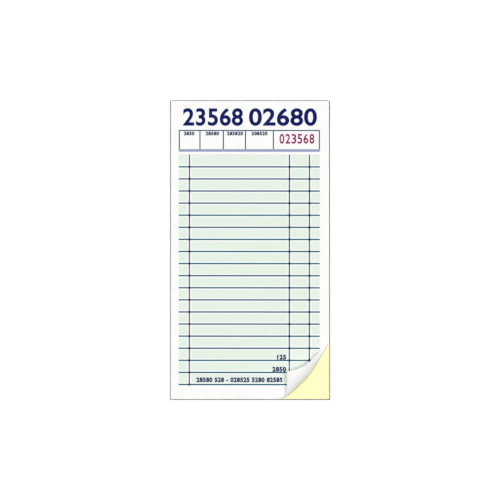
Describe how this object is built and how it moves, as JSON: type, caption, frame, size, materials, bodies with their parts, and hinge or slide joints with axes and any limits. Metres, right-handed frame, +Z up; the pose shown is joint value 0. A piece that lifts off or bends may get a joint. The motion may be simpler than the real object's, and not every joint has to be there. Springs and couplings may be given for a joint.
{
  "type": "guest check pad",
  "caption": "Glued pad of two-part restaurant order slips on a chipboard back, with ruled white checks over yellow copies and one corner of the top slip rolled up.",
  "frame": {"origin": "on the underside of the backing board, at the middle of the pad", "axes": "+X across the pad to the reader's right, +Y along the pad to its glued head, +Z up out of the writing face"},
  "size_m": [0.0878, 0.1644, 0.0184],
  "materials": {
    "white_paper": "matte",
    "canary_paper": "matte",
    "chipboard": "matte",
    "padding_compound": "satin"
  },
  "bodies": {
    "pad": {"backing_board": "chipboard", "head_glue_film": "padding_compound", "white_check_11": "white_paper", "canary_copy_11": "canary_paper", "white_check_12": "white_paper", "canary_copy_12": "canary_paper", "white_check_13": "white_paper", "canary_copy_13": "canary_paper", "white_check_14": "white_paper", "canary_copy_14": "canary_paper", "white_check_15": "white_paper", "canary_copy_15": "canary_paper", "white_check_16": "white_paper", "canary_copy_16": "canary_paper", "white_check_17": "white_paper", "canary_copy_17": "canary_paper", "white_check_18": "white_paper", "canary_copy_18": "canary_paper", "white_check_19": "white_paper", "canary_copy_19": "canary_paper", "white_check_20": "white_paper", "canary_copy_20": "canary_paper", "white_check_21": "white_paper", "canary_copy_21": "canary_paper", "white_check_22": "white_paper", "canary_copy_22": "canary_paper", "white_check_23": "white_paper", "canary_copy_23": "canary_paper", "white_check_24": "white_paper", "canary_copy_24": "canary_paper", "white_check_25": "white_paper", "canary_copy_25": "canary_paper"},
    "packet": {"packet_glue_film": "padding_compound", "white_check_02": "white_paper", "canary_copy_02": "canary_paper", "white_check_03": "white_paper", "canary_copy_03": "canary_paper", "white_check_04": "white_paper", "canary_copy_04": "canary_paper", "white_check_05": "white_paper", "canary_copy_05": "canary_paper", "white_check_06": "white_paper", "canary_copy_06": "canary_paper", "white_check_07": "white_paper", "canary_copy_07": "canary_paper", "white_check_08": "white_paper", "canary_copy_08": "canary_paper", "white_check_09": "white_paper", "canary_copy_09": "canary_paper", "white_check_10": "white_paper", "canary_copy_10": "canary_paper"},
    "copy_leaf": {"canary_copy_01": "canary_paper", "copy_glue_film": "padding_compound"},
    "check_leaf": {"white_check_01": "white_paper", "check_glue_film": "padding_compound"}
  },
  "joints": [
    {"name": "packet_turn", "type": "hinge", "parent": "pad", "child": "packet", "pos_m": [0, 0.0822, 0.00301], "axis": [-1, 0, 0], "range_deg": [0, 35]},
    {"name": "copy_turn", "type": "hinge", "parent": "packet", "child": "copy_leaf", "pos_m": [0, 0.0822, 0.00445], "axis": [-1, 0, 0], "range_deg": [0, 60]},
    {"name": "check_turn", "type": "hinge", "parent": "copy_leaf", "child": "check_leaf", "pos_m": [0, 0.0822, 0.00453], "axis": [-1, 0, 0], "range_deg": [0, 170]}
  ]
}
